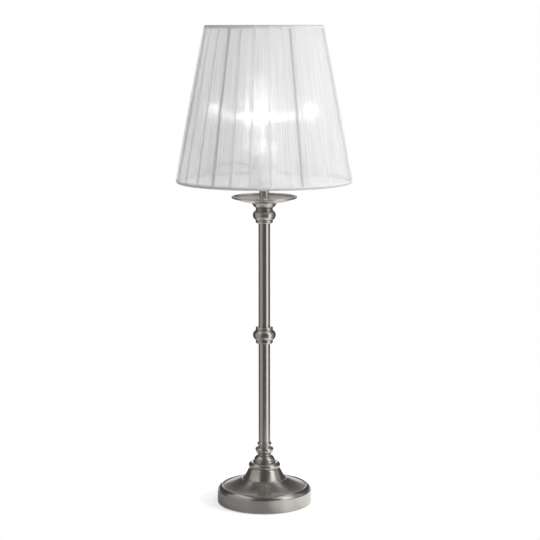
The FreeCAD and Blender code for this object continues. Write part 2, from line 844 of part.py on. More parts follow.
def bulb_cap():
    """Screw cap with its flared skirt, open where the glass neck goes in."""
    foot = contact_top + bulb_contact_height + bulb_insulator_height
    thread_radius = screw_radius - running_fit
    thread_top = contact_top + bulb_thread_top
    skirt_top = contact_top + bulb_cap_top
    bore = bulb_neck_radius + running_fit
    flare = bulb_skirt_radius - bulb_cap_sheet
    return turned([(bulb_insulator_radius - bulb_cap_lip, foot),
                   (bulb_insulator_radius, foot),
                   (thread_radius, foot + bulb_cap_rise),
                   (thread_radius, thread_top),
                   (bulb_skirt_radius, skirt_top),
                   (flare, skirt_top),
                   (bore, thread_top),
                   (bore, foot + bulb_cap_rise + bulb_cap_sheet),
                   (bulb_insulator_radius - bulb_cap_lip, foot + bulb_cap_sheet)])


def bulb_insulator():
    foot = contact_top + bulb_contact_height
    return turned([(0, foot),
                   (bulb_insulator_foot, foot),
                   (bulb_insulator_radius, foot + bulb_insulator_height),
                   (0, foot + bulb_insulator_height)])


def bulb_contact():
    return turned([(0, contact_top),
                   (bulb_contact_radius - bulb_contact_round, contact_top),
                   (bulb_contact_radius, contact_top + bulb_contact_height * 0.5),
                   (bulb_contact_radius, contact_top + bulb_contact_height),
                   (0, contact_top + bulb_contact_height)])


def bulb_stem():
    """Inner glass stem that carries the leads, flared to meet the neck."""
    foot_z = contact_top + stem_foot_height
    flare = bulb_neck_radius - bulb_glass_wall - running_fit
    top = contact_top + stem_glass_top
    return turned([(0, foot_z),
                   (flare, foot_z),
                   (flare, foot_z + stem_edge),
                   (stem_glass_radius, foot_z + stem_flare_height),
                   (stem_glass_radius, top - stem_edge),
                   (stem_glass_radius - stem_edge, top),
                   (0, top)])


def bulb_leads():
    """Two lead wires that spread from the stem to the ends of the filament."""
    low = contact_top + stem_glass_top
    leads = []
    for side in (-1, 1):
        start = vector(side * lead_start, low)
        run = vector(side * filament_half_span, contact_top + filament_height) - start
        leads.append(Part.makeCylinder(lead_radius, run.Length, start, run).cut(bulb_stem()))
    return Part.makeCompound(leads)


def bulb_filament():
    """Coiled filament as one bowed wire between the leads."""
    level = contact_top + filament_height
    left = vector(-filament_half_span, level)
    right = vector(filament_half_span, level)
    arc = Part.Arc(left, vector(0, level + filament_sag), right)
    circle = Part.Wire(Part.makeCircle(filament_radius, left, arc.tangent(arc.FirstParameter)[0]))
    wire = Part.Wire(arc.toShape()).makePipeShell([circle], True, False)
    return max(wire.cut(bulb_leads()).Solids, key=lambda solid: solid.Volume)


pieces = {
    "felt_pad": felt_pad(),
    "base_weight": base_weight(),
    "base_shell": base_shell(),
    "cord_grommet": cord_grommet(),
    "base_washer": base_washer(),
    "base_lock_washer": base_lock_washer(),
    "base_nut": base_nut(),
    "threaded_tube": threaded_tube(),
    "base_bell": base_bell(),
    "column_foot": column_foot(),
    "lower_tube": column_tube(lower_tube_base, lower_reach),
    "middle_knop": middle_knop(),
    "upper_tube": column_tube(upper_tube_base, upper_reach),
    "top_knop": top_knop(),
    "pan_cup": pan_cup(),
    "drip_pan": drip_pan(),
    "holder_stem": holder_stem(),
    "holder_cap": holder_cap(),
    "holder_sleeve": holder_sleeve(),
    "holder_core": holder_core(),
    "screw_shell": screw_shell(),
    "centre_contact": centre_contact(),
    "side_contact": side_contact(),
    "terminal_screws": terminal_screws(),
    "shade_ring": shade_ring(),
    "shade_bottom_ring": shade_bottom_ring(),
    "shade_top_ring": shade_top_ring(),
    "shade_struts": shade_struts(),
    "shade_cover": shade_cover(),
    "carrier_ring": carrier_ring(),
    "carrier_arms": carrier_arms(),
    "bulb_cap": bulb_cap(),
    "bulb_insulator": bulb_insulator(),
    "bulb_contact": bulb_contact(),
    "bulb_glass": bulb_glass(),
    "bulb_stem": bulb_stem(),
    "bulb_leads": bulb_leads(),
    "bulb_filament": bulb_filament(),
}

os.makedirs("parts", exist_ok=True)
for name, shape in pieces.items():
    shape.exportStep(f"parts/{name}.step")
    print(f"{name:18s} solids {len(shape.Solids)}  valid {shape.isValid()}"
          f"  volume {shape.Volume:10.1f}  z {shape.BoundBox.ZMin:7.2f} to {shape.BoundBox.ZMax:7.2f}")
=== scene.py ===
import math

import bpy
import numpy as np
from mathutils import Matrix


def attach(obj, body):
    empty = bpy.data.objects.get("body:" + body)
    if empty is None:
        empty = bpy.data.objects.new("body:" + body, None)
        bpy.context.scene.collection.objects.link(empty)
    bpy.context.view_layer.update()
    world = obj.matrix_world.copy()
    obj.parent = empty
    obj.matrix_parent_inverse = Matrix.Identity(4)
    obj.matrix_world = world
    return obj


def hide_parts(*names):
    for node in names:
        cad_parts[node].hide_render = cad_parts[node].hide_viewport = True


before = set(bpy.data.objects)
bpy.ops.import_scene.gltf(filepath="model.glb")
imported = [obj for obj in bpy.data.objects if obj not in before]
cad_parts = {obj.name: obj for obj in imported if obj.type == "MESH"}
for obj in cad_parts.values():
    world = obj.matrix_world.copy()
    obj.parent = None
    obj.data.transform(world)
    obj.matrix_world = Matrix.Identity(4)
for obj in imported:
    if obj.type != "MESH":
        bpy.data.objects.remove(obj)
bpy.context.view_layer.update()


# The turned metal parts: a pressed base shell, a hollow bell, a turned foot, two tubes, two ball
# knops, and the spun drip pan with its cup and spacer. All are steel or brass, nickel plated and
# brushed in the lathe to a satin finish, then clamped on one threaded tube.

def linear(colour):
    """An sRGB hex colour as linear red, green, blue and a full alpha."""
    shares = [int(colour[i:i + 2], 16) / 255 for i in (1, 3, 5)]
    return [s / 12.92 if s <= 0.04045 else ((s + 0.055) / 1.055) ** 2.4 for s in shares] + [1.0]


def add(tree, kind, inputs=None, **settings):
    """A node of that kind, with its settings, and its inputs as values or as sockets to link."""
    node = tree.nodes.new("ShaderNode" + kind)
    for name, value in settings.items():
        setattr(node, name, value)
    for name, value in (inputs or {}).items():
        if isinstance(value, bpy.types.NodeSocket):
            tree.links.new(value, node.inputs[name])
        else:
            node.inputs[name].default_value = value
    return node


def new_material(name):
    """An empty node material and its tree."""
    material = bpy.data.materials.new(name)
    material.use_nodes = True
    material.node_tree.nodes.clear()
    return material, material.node_tree


def coat(material, *nodes):
    """Puts the material in every slot of these CAD nodes."""
    for name in nodes:
        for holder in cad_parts[name].material_slots:
            holder.material = material


# Satin nickel plate: a nearly neutral grey metal. The lathe's abrasive leaves rings about 0.1 mm
# apart, drawn here at 0.4 mm so that they show, which stretch each highlight along the axis.
brush_spacing = 0.0004
brush_streaks = 0.1                     # how much a ring changes on its way round the axis
haze_patches = 35.0                     # to the metre, each about 30 mm across
nickel, tree = new_material("satin_nickel_plate")
place = add(tree, "TexCoord").outputs["Object"]
parts = add(tree, "SeparateXYZ", {"Vector": place}).outputs
flat = add(tree, "CombineXYZ", {"X": parts["X"], "Y": parts["Y"]}).outputs[0]
reach = add(tree, "VectorMath", {0: flat}, operation="LENGTH").outputs["Value"]
facing = add(tree, "VectorMath", {0: flat}, operation="NORMALIZE").outputs[0]
facing = add(tree, "VectorMath", {0: facing, "Scale": brush_streaks}, operation="SCALE").outputs[0]
height = add(tree, "Math", {0: parts["Z"], 1: 1 / brush_spacing}, operation="MULTIPLY").outputs[0]
across = add(tree, "Math", {0: reach, 1: 1 / brush_spacing}, operation="MULTIPLY").outputs[0]
lift = add(tree, "CombineXYZ", {"Z": height}).outputs[0]
brushed = add(tree, "VectorMath", {0: facing, 1: lift}, operation="ADD").outputs[0]
rings = add(tree, "TexNoise", {"Vector": brushed, "W": across, "Scale": 1.0, "Detail": 2.0},
            noise_dimensions="4D").outputs[0]
haze = add(tree, "TexNoise", {"Vector": place, "Scale": haze_patches, "Detail": 3.0}).outputs[0]
tone = add(tree, "Mix", {"Factor": haze, "A": linear("#c6c3bd"), "B": linear("#b6b3ad")},
           data_type="RGBA").outputs["Result"]
sheen = add(tree, "MapRange", {"Value": rings, "From Min": 0.25, "From Max": 0.75,
                               "To Min": 0.272, "To Max": 0.288}).outputs[0]
relief = add(tree, "Bump", {"Height": rings, "Strength": 0.004, "Distance": 0.000005}).outputs[0]
grain = add(tree, "Tangent", direction_type="RADIAL", axis="Z").outputs[0]
metal = add(tree, "BsdfPrincipled", {
    "Base Color": tone, "Metallic": 1.0, "Roughness": sheen, "Anisotropic": 0.65,
    "Anisotropic Rotation": 0.25, "Normal": relief, "Tangent": grain})
add(tree, "OutputMaterial", {"Surface": metal.outputs[0]})
coat(nickel, "base_shell", "base_bell", "column_foot", "lower_tube", "middle_knop", "upper_tube",
     "top_knop", "pan_cup", "drip_pan", "holder_stem")


# Felt under the base: pressed wool, glued to the weight so that the lamp doesn't scratch a table.
# It is dark and quite matt. Its fibres are far too fine to show, so tufts 0.7 mm apart stand in.
felt_tufts = 1400.0                     # to the metre
felt, tree = new_material("pressed_wool_felt")
place = add(tree, "TexCoord").outputs["Object"]
fibres = add(tree, "TexNoise", {"Vector": place, "Scale": felt_tufts, "Detail": 4.0}).outputs[0]
tone = add(tree, "Mix", {"Factor": fibres, "A": linear("#1d2220"), "B": linear("#39423e")},
           data_type="RGBA").outputs["Result"]
relief = add(tree, "Bump", {"Height": fibres, "Strength": 0.8, "Distance": 0.0003}).outputs[0]
wool = add(tree, "BsdfPrincipled", {"Base Color": tone, "Roughness": 0.95, "Sheen Weight": 0.4,
                                    "Normal": relief})
add(tree, "OutputMaterial", {"Surface": wool.outputs[0]})
coat(felt, "felt_pad")


# The cast weight in the base: grey iron, as cast, with sand grain about 1 mm apart on its dull
# skin. Nothing of it shows once the felt is on.
sand_grains = 900.0                     # to the metre
iron, tree = new_material("grey_cast_iron")
place = add(tree, "TexCoord").outputs["Object"]
sand = add(tree, "TexNoise", {"Vector": place, "Scale": sand_grains, "Detail": 5.0}).outputs[0]
tone = add(tree, "Mix", {"Factor": sand, "A": linear("#3b3a38"), "B": linear("#565350")},
           data_type="RGBA").outputs["Result"]
relief = add(tree, "Bump", {"Height": sand, "Strength": 0.7, "Distance": 0.0003}).outputs[0]
cast = add(tree, "BsdfPrincipled", {"Base Color": tone, "Metallic": 0.6, "Roughness": 0.7,
                                    "Normal": relief})
add(tree, "OutputMaterial", {"Surface": cast.outputs[0]})
coat(iron, "base_weight")


# The bush at the back of the rim: black moulded rubber, pushed into its hole from outside. It is
# dull, with a faint moulded grain 0.4 mm apart.
rubber_grains = 2500.0                  # to the metre
rubber, tree = new_material("black_moulded_rubber")
place = add(tree, "TexCoord").outputs["Object"]
mould = add(tree, "TexNoise", {"Vector": place, "Scale": rubber_grains, "Detail": 2.0}).outputs[0]
sheen = add(tree, "MapRange", {"Value": mould, "To Min": 0.5, "To Max": 0.65}).outputs[0]
relief = add(tree, "Bump", {"Height": mould, "Strength": 0.3, "Distance": 0.0001}).outputs[0]
bush = add(tree, "BsdfPrincipled", {"Base Color": linear("#17171a"), "Roughness": sheen,
                                    "Normal": relief})
add(tree, "OutputMaterial", {"Surface": bush.outputs[0]})
coat(rubber, "cord_grommet")


# The rod, nut and washers that clamp the stack, and the terminal screws: zinc plated steel. The
# plate is a cool bright grey with a slightly cloudy shine, in clouds about 4 mm across.
zinc_clouds = 260.0                     # to the metre
zinc, tree = new_material("zinc_plated_steel")
place = add(tree, "TexCoord").outputs["Object"]
cloud = add(tree, "TexNoise", {"Vector": place, "Scale": zinc_clouds, "Detail": 4.0}).outputs[0]
tone = add(tree, "Mix", {"Factor": cloud, "A": linear("#b9bcc0"), "B": linear("#d0d2d4")},
           data_type="RGBA").outputs["Result"]
sheen = add(tree, "MapRange", {"Value": cloud, "To Min": 0.28, "To Max": 0.45}).outputs[0]
plate = add(tree, "BsdfPrincipled", {"Base Color": tone, "Metallic": 1.0, "Roughness": sheen})
add(tree, "OutputMaterial", {"Surface": plate.outputs[0]})
coat(zinc, "base_nut", "base_lock_washer", "base_washer", "threaded_tube", "terminal_screws")


# The lampholder's cap, sleeve and core, and the threaded ring that clamps the shade: white PBT,
# injection moulded. It has a soft even shine and a fine spark-eroded texture, 0.6 mm apart.
spark_pits = 1800.0                     # to the metre
pbt, tree = new_material("white_moulded_pbt")
place = add(tree, "TexCoord").outputs["Object"]
mould = add(tree, "TexNoise", {"Vector": place, "Scale": spark_pits, "Detail": 2.0}).outputs[0]
tone = add(tree, "Mix", {"Factor": mould, "A": linear("#eeece6"), "B": linear("#f6f5f1")},
           data_type="RGBA").outputs["Result"]
sheen = add(tree, "MapRange", {"Value": mould, "To Min": 0.34, "To Max": 0.46}).outputs[0]
relief = add(tree, "Bump", {"Height": mould, "Strength": 0.15, "Distance": 0.00005}).outputs[0]
moulding = add(tree, "BsdfPrincipled", {"Base Color": tone, "Roughness": sheen, "Normal": relief})
add(tree, "OutputMaterial", {"Surface": moulding.outputs[0]})
coat(pbt, "holder_cap", "holder_sleeve", "holder_core", "shade_ring")


# The lampholder's screw shell and contacts: stamped brass, bright from the press, and a little
# duller in patches about 3 mm across, where it has been handled.
brass_patches = 300.0                   # to the metre
brass, tree = new_material("stamped_brass")
place = add(tree, "TexCoord").outputs["Object"]
cloud = add(tree, "TexNoise", {"Vector": place, "Scale": brass_patches, "Detail": 3.0}).outputs[0]
tone = add(tree, "Mix", {"Factor": cloud, "A": linear("#c9a45c"), "B": linear("#dcbc7a")},
           data_type="RGBA").outputs["Result"]
sheen = add(tree, "MapRange", {"Value": cloud, "To Min": 0.22, "To Max": 0.38}).outputs[0]
stamping = add(tree, "BsdfPrincipled", {"Base Color": tone, "Metallic": 1.0, "Roughness": sheen})
add(tree, "OutputMaterial", {"Surface": stamping.outputs[0]})
coat(brass, "screw_shell", "centre_contact", "side_contact")


# The shade's frame: two wire rings, six struts, and three arms to the ring that sits on the
# lampholder. It is steel wire, welded and dipped in a dull grey coat, whose faint orange peel has
# dimples about 1.4 mm apart.
peel_dimples = 700.0                    # to the metre
dipped, tree = new_material("grey_dipped_coat")
place = add(tree, "TexCoord").outputs["Object"]
peel = add(tree, "TexNoise", {"Vector": place, "Scale": peel_dimples, "Detail": 1.0}).outputs[0]
sheen = add(tree, "MapRange", {"Value": peel, "To Min": 0.3, "To Max": 0.42}).outputs[0]
relief = add(tree, "Bump", {"Height": peel, "Strength": 0.2, "Distance": 0.0001}).outputs[0]
tone = add(tree, "Mix", {"Factor": peel, "A": linear("#949495"), "B": linear("#a0a0a1")},
           data_type="RGBA").outputs["Result"]
wire = add(tree, "BsdfPrincipled", {"Base Color": tone, "Roughness": sheen, "Normal": relief})
add(tree, "OutputMaterial", {"Surface": wire.outputs[0]})
coat(dipped, "shade_bottom_ring", "shade_top_ring", "shade_struts", "carrier_ring",
     "carrier_arms")


# The shade's cloth: white polyester organza, laid in narrow pleats that all fold to the same side,
# stretched between the wire rings, turned round both and lined with the same cloth. Each pleat
# laps over its neighbour, so a band of three layers shows beside every fold.
pleats = 28
pleat_seed = 7
pleat_unevenness = 0.025                # of a pleat's width, that a fold strays to either side
first_fold = 5.4                        # degrees from the front, positive to the right
fold_share = 0.16                       # of a pleat's width that its fold goes back under it
ring_heights = (0.3821, 0.5579)         # middle of the bottom and top wires
ring_reaches = (0.0996, 0.0662)
cloth_seat = 0.0021                     # from the middle of a wire to the lowest layer of cloth
pleat_rise = (0.0004, 0.0012)           # height of a fold at the rings and half way up
rise_fullness = 0.7                     # power of the sine between these: below 1 is fuller
rise_end = 4                            # power at which the folds flatten round a wire
lap_left = 0.85                         # of the folds' lap, once the cloth is over the top wire
lap_fading = 9                          # the lap is gone one part in this down the inside
rows_up, rows_round, rows_down = 28, 9, 14


def closed_surface(name, points, spread):
    """A grid of points, shape (round, along, 3), closed both ways, as a mesh with a UV map: u and v
    are the distances that spread gives for the grid's columns and rows, with one more of each."""
    around, along = points.shape[:2]
    i, j = np.meshgrid(np.arange(around), np.arange(along), indexing="ij")
    corner = [(i, j), (i + 1, j), (i + 1, j + 1), (i, j + 1)]
    faces = np.stack([(a % around) * along + b % along for a, b in corner], axis=-1).reshape(-1, 4)
    mesh = bpy.data.meshes.new(name)
    mesh.from_pydata(points.reshape(-1, 3), [], faces)
    mesh.polygons.foreach_set("use_smooth", np.ones(len(faces), bool))
    u, v = spread
    lay = np.stack([np.stack([u[a], v[b]], axis=-1) for a, b in corner], axis=2)
    mesh.uv_layers.new(name="cloth").data.foreach_set("uv", lay.reshape(-1))
    mesh.update()
    piece = bpy.data.objects.new(name, mesh)
    bpy.context.scene.collection.objects.link(piece)
    return piece


def girth(line):
    """How far along a closed line of points each point lies, and last the whole way round it."""
    steps = np.linalg.norm(np.roll(line, -1, 0) - line, axis=1)
    return np.concatenate([[0], np.cumsum(steps)])


def pleated_cloth():
    """Going round, each pleat leaves from under its neighbour's fold, rises to its own fold, goes
    back under itself and starts the next. Going along, the cloth goes up the outside, round the
    top wire, down the inside and round the bottom wire, at its seat plus its pleat's rise. On the
    inside the pleats fade to an even lining. With the points come their distances round the cloth,
    at the pleats' mean girth, and along it, on its lowest layer."""
    # One pleat's section: each point's way round, as a share of the pleat's width, and its height,
    # as a share of the fold's rise.
    back = fold_share
    step = np.array([-back, -back / 2, 0, 0.12, 0.28, 0.45, 0.62, 0.78, 0.9, 0.975, 1.0, 0.985,
                     1 - 0.45 * back, 1 - 0.9 * back, 1 - 1.02 * back])
    rise = np.array([0.06, 0.0, 0.02, 0.08, 0.2, 0.36, 0.55, 0.75, 0.9, 0.99, 0.9, 0.78,
                     0.6, 0.42, 0.24])
    draw = np.random.default_rng(pleat_seed)
    jitter = draw.normal(0, pleat_unevenness, pleats)
    start = np.arange(pleats) - pleats // 2
    folds = (start + jitter)[:, None]
    width = (1 + np.roll(jitter, -1) - jitter)[:, None]
    turn = (folds + np.where(step < 0, step, step * width)).reshape(-1)
    layer = np.tile(rise, pleats)
    even = np.linspace(turn[0], turn[0] + pleats, turn.size, endpoint=False)
    # The way along: the share of the height, the swing round the wires, how much of the folds' lap
    # is left, and how much of their rise.
    pull = np.linspace(0, 1, rows_up)
    half = np.linspace(0, math.pi, rows_round + 2)[1:-1]
    down = np.linspace(1, 0, rows_down)
    share = np.concatenate([pull, np.ones(rows_round), down, np.zeros(rows_round)])
    swing = np.concatenate([np.zeros(rows_up), half, np.full(rows_down, math.pi), math.pi + half])
    lap = np.concatenate([np.ones(rows_up), np.linspace(1, lap_left, rows_round),
                          np.clip(1 - lap_fading * (1 - down), 0, 1) * lap_left,
                          np.linspace(0, 1, rows_round)])
    flat = np.concatenate([np.ones(rows_up), np.cos(half / 2) ** rise_end,
                           np.zeros(rows_down), np.sin(half / 2) ** rise_end])
    reach = ring_reaches[0] + share * (ring_reaches[1] - ring_reaches[0])
    height = ring_heights[0] + share * (ring_heights[1] - ring_heights[0])
    lean = math.atan2(ring_reaches[0] - ring_reaches[1], ring_heights[1] - ring_heights[0])
    bulge = np.sin(np.pi * share) ** rise_fullness
    bulge = pleat_rise[0] + (pleat_rise[1] - pleat_rise[0]) * bulge
    stand = cloth_seat + layer[:, None] * (bulge * flat)[None, :]
    angle = even[:, None] + (turn - even)[:, None] * lap[None, :]
    angle = np.radians(angle * 360 / pleats + first_fold)
    out = reach + stand * np.cos(lean + swing)
    up = height + stand * np.sin(lean + swing)
    points = np.stack([out * np.sin(angle), -out * np.cos(angle), up], axis=-1)
    seat = np.stack([reach + cloth_seat * np.cos(lean + swing),
                     height + cloth_seat * np.sin(lean + swing)], axis=-1)
    return points, girth(points[:, :rows_up].mean(axis=1)), girth(seat)


points, u, v = pleated_cloth()
top_wire = v[rows_up - 1]               # distance along the cloth at which it meets the top wire
cloth = closed_surface("shade_cloth", points, (u, v))

# Polyester organza: fine bright filaments with open gaps between them. Each filament is a tiny
# cylinder lens, so the upright ones spread the bulb's light sideways and the level ones up and
# down. The threads are 0.25 mm apart, drawn at 0.5 mm so that they show. One refraction of index
# 2.2 stands in for the two at a thread's faces. Round the wires the cloth is turned over a tape,
# which makes it denser.
thread_spacing = 0.0005
thread_slopes = (2.3, 1.1)              # steepest slope of an upright and of a level thread's side
thread_index = 2.2
lens_dip = 0.045                        # slope at which the threads' faces look down
level_share = 0.4                       # of the refracted light that passes the level threads
through_share = 0.45                    # of the yarn's own white that is light from behind
lens_share = (0.4, 0.2)                 # of the threads' light that is refracted, free and taped
weave_cover = (0.5, 0.66)               # of the cloth that is thread, where thin and where dense
hem_cover = 0.85                        # the same over the tape
hem = 0.0035                            # from a wire to the tape's end; it thins from half of this
slubs = (700, 12, 1)                    # to the metre, across and along: 1.4 mm by 80 mm
organza, tree = new_material("white_polyester_organza")
lay = add(tree, "UVMap", uv_map="cloth").outputs[0]
threads = add(tree, "VectorMath", {0: lay, "Scale": 1 / thread_spacing},
              operation="SCALE").outputs[0]
phase = add(tree, "VectorMath", {0: threads}, operation="FRACTION").outputs[0]
phase = add(tree, "VectorMath", {0: phase, 1: (2, 2, 0), 2: (-1, -1, 0)},
            operation="MULTIPLY_ADD").outputs[0]
sides = add(tree, "SeparateXYZ", {"Vector": phase}).outputs
normal = add(tree, "NewGeometry").outputs["Normal"]
level = add(tree, "VectorMath", {0: (0, 0, 1), 1: normal}, operation="CROSS_PRODUCT").outputs[0]
level = add(tree, "VectorMath", {0: level}, operation="NORMALIZE").outputs[0]
front = add(tree, "VectorMath", {0: level, 1: (0, 0, 1)}, operation="CROSS_PRODUCT").outputs[0]
front = add(tree, "VectorMath", {0: front, 1: (0, 0, -lens_dip)}, operation="ADD").outputs[0]
lenses = []
for direction, side, slope in ((level, sides["X"], thread_slopes[0]),
                               ((0, 0, 1), sides["Y"], thread_slopes[1])):
    tilt = add(tree, "Math", {0: side}, operation="ABSOLUTE").outputs[0]
    tilt = add(tree, "Math", {0: tilt, 1: side}, operation="MULTIPLY").outputs[0]
    tilt = add(tree, "Math", {0: tilt, 1: slope}, operation="MULTIPLY").outputs[0]
    bend = add(tree, "VectorMath", {0: direction, "Scale": tilt}, operation="SCALE").outputs[0]
    bend = add(tree, "VectorMath", {0: bend, 1: front}, operation="ADD").outputs[0]
    lenses.append(add(tree, "VectorMath", {0: bend}, operation="NORMALIZE").outputs[0])
slub = add(tree, "Mapping", {"Vector": lay, "Scale": slubs}).outputs[0]
slub = add(tree, "TexNoise", {"Vector": slub, "Scale": 1.0, "Detail": 3.0}).outputs[0]
tone = add(tree, "Mix", {"Factor": slub, "A": linear("#f8f8fb"), "B": linear("#ffffff")},
           data_type="RGBA").outputs["Result"]
warp = add(tree, "BsdfRefraction", {"Color": linear("#ffffff"), "Roughness": 0.3,
                                    "IOR": thread_index, "Normal": lenses[0]}).outputs[0]
weft = add(tree, "BsdfRefraction", {"Color": linear("#ffffff"), "Roughness": 0.25,
                                    "IOR": thread_index, "Normal": lenses[1]}).outputs[0]
refracted = add(tree, "MixShader", {0: level_share, 1: warp, 2: weft}).outputs[0]
through = add(tree, "BsdfTranslucent", {"Color": tone}).outputs[0]
yarn = add(tree, "BsdfPrincipled", {"Base Color": tone, "Roughness": 0.4, "Sheen Weight": 0.2,
                                    "Normal": lenses[0]}).outputs[0]
body = add(tree, "MixShader", {0: through_share, 1: yarn, 2: through}).outputs[0]
cover = add(tree, "MapRange", {"Value": slub, "From Min": 0.3, "From Max": 0.7,
                               "To Min": weave_cover[0], "To Max": weave_cover[1]}).outputs[0]
along = add(tree, "SeparateXYZ", {"Vector": lay}).outputs["Y"]
lensing = lens_share[0]
for wire in (0.0, top_wire):
    off = add(tree, "Math", {0: along, 1: wire}, operation="SUBTRACT").outputs[0]
    off = add(tree, "Math", {0: off}, operation="ABSOLUTE").outputs[0]
    taped = add(tree, "MapRange", {"Value": off, "From Min": hem, "From Max": hem / 2,
                                   "To Min": 0.0, "To Max": hem_cover}).outputs[0]
    cover = add(tree, "Math", {0: cover, 1: taped}, operation="MAXIMUM").outputs[0]
    bare = add(tree, "MapRange", {"Value": off, "From Min": hem, "From Max": hem / 2,
                                  "To Min": lens_share[0], "To Max": lens_share[1]}).outputs[0]
    lensing = add(tree, "Math", {0: lensing, 1: bare}, operation="MINIMUM").outputs[0]
body = add(tree, "MixShader", {0: lensing, 1: body, 2: refracted}).outputs[0]
clear = add(tree, "BsdfTransparent").outputs[0]
weave = add(tree, "MixShader", {0: cover, 1: clear, 2: body}).outputs[0]
add(tree, "OutputMaterial", {"Surface": weave})
cloth.data.materials.append(organza)
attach(cloth, "shade")
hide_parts("shade_cover")


# The bulb's shell and inner stem: clear soda-lime glass, blown in a mould and sealed to its cap.
# It has only faint ripples, 17 mm apart, and light passes it without a shadow.
glass_ripples = 60.0                    # to the metre
glass, tree = new_material("clear_soda_lime_glass")
place = add(tree, "TexCoord").outputs["Object"]
ripple = add(tree, "TexNoise", {"Vector": place, "Scale": glass_ripples, "Detail": 1.0}).outputs[0]
relief = add(tree, "Bump", {"Height": ripple, "Strength": 0.1, "Distance": 0.0005}).outputs[0]
blown = add(tree, "BsdfGlass", {"Roughness": 0.0, "IOR": 1.5, "Normal": relief}).outputs[0]
pass_through = add(tree, "BsdfTransparent").outputs[0]
shadow = add(tree, "LightPath").outputs["Is Shadow Ray"]
pane = add(tree, "MixShader", {0: shadow, 1: blown, 2: pass_through}).outputs[0]
add(tree, "OutputMaterial", {"Surface": pane})
coat(glass, "bulb_glass", "bulb_stem")


# The bulb's cap and contact: nickel plated brass, rolled to its thread and crimped on the glass.
# It is bright and slightly warm, with clouds about 2.5 mm across in its shine.
cap_clouds = 400.0                      # to the metre
cap, tree = new_material("nickel_plated_cap")
place = add(tree, "TexCoord").outputs["Object"]
cloud = add(tree, "TexNoise", {"Vector": place, "Scale": cap_clouds, "Detail": 3.0}).outputs[0]
tone = add(tree, "Mix", {"Factor": cloud, "A": linear("#bdb9b0"), "B": linear("#d6d3cb")},
           data_type="RGBA").outputs["Result"]
sheen = add(tree, "MapRange", {"Value": cloud, "To Min": 0.2, "To Max": 0.34}).outputs[0]
rolled = add(tree, "BsdfPrincipled", {"Base Color": tone, "Metallic": 1.0, "Roughness": sheen})
add(tree, "OutputMaterial", {"Surface": rolled.outputs[0]})
coat(cap, "bulb_cap", "bulb_contact")


# The insulator at the foot of the cap: black glass, pressed hot into the cap. It has a wet shine,
# and flow marks 2 mm apart in its colour.
flow_marks = 500.0                      # to the metre
black_glass, tree = new_material("black_pressed_glass")
place = add(tree, "TexCoord").outputs["Object"]
flow = add(tree, "TexNoise", {"Vector": place, "Scale": flow_marks, "Detail": 2.0}).outputs[0]
tone = add(tree, "Mix", {"Factor": flow, "A": linear("#101014"), "B": linear("#24222a")},
           data_type="RGBA").outputs["Result"]
pressed = add(tree, "BsdfPrincipled", {"Base Color": tone, "Roughness": 0.12})
add(tree, "OutputMaterial", {"Surface": pressed.outputs[0]})
coat(black_glass, "bulb_insulator")


# The leads that hold the filament: drawn nickel wire, sealed into the glass stem. They are a dull
# grey, slightly blued by heat in patches about 7 mm long.
heat_patches = 150.0                    # to the metre
lead, tree = new_material("drawn_nickel_wire")
place = add(tree, "TexCoord").outputs["Object"]
heat = add(tree, "TexNoise", {"Vector": place, "Scale": heat_patches}).outputs[0]
tone = add(tree, "Mix", {"Factor": heat, "A": linear("#8f8d8b"), "B": linear("#a9a6b0")},
           data_type="RGBA").outputs["Result"]
drawn = add(tree, "BsdfPrincipled", {"Base Color": tone, "Metallic": 1.0, "Roughness": 0.35})
add(tree, "OutputMaterial", {"Surface": drawn.outputs[0]})
coat(lead, "bulb_leads")


# The filament: coiled tungsten, clamped in the leads and white hot. It is the lamp's own light,
# and its glow shows through the cloth. The turns of its coil are drawn 0.3 mm apart.
coil_turns = 3000.0                     # to the metre
filament_glow = 480.0
filament, tree = new_material("glowing_tungsten")
place = add(tree, "TexCoord").outputs["Object"]
coil = add(tree, "TexNoise", {"Vector": place, "Scale": coil_turns}).outputs[0]
tone = add(tree, "Mix", {"Factor": coil, "A": linear("#fffaf2"), "B": linear("#fffdf9")},
           data_type="RGBA").outputs["Result"]
glow = add(tree, "Emission", {"Color": tone, "Strength": filament_glow})
add(tree, "OutputMaterial", {"Surface": glow.outputs[0]})
coat(filament, "bulb_filament")


# The table: a small round of white paper under the lamp. The camera, metal and glass see it as
# white, apart from the lamp's soft shadow.
table_reach = 0.24
table_corners = 96
paper_glow = 0.35                       # what makes its lit grey up to white


def background_rays(tree):
    """1 on a ray from the camera, off metal or through glass, and 0 on one that gathers light."""
    path = add(tree, "LightPath").outputs
    seen = add(tree, "Math", {0: path["Is Camera Ray"], 1: path["Is Glossy Ray"]},
               operation="MAXIMUM").outputs[0]
    return add(tree, "Math", {0: seen, 1: path["Is Transmission Ray"]},
               operation="MAXIMUM").outputs[0]


corner = np.radians(np.arange(table_corners) * 360 / table_corners)
edge = np.stack([table_reach * np.cos(corner), table_reach * np.sin(corner), corner * 0], axis=-1)
mesh = bpy.data.meshes.new("table")
mesh.from_pydata(edge, [], [list(range(table_corners))])
table = bpy.data.objects.new("table", mesh)
bpy.context.scene.collection.objects.link(table)
paper, tree = new_material("white_paper_sweep")
sheet = add(tree, "BsdfDiffuse", {"Color": linear("#f2f2f2")}).outputs[0]
lit = add(tree, "Math", {0: background_rays(tree), 1: paper_glow}, operation="MULTIPLY").outputs[0]
white = add(tree, "Emission", {"Color": linear("#ffffff"), "Strength": lit}).outputs[0]
mixed = add(tree, "AddShader", {0: sheet, 1: white}).outputs[0]
add(tree, "OutputMaterial", {"Surface": mixed})
table.data.materials.append(paper)


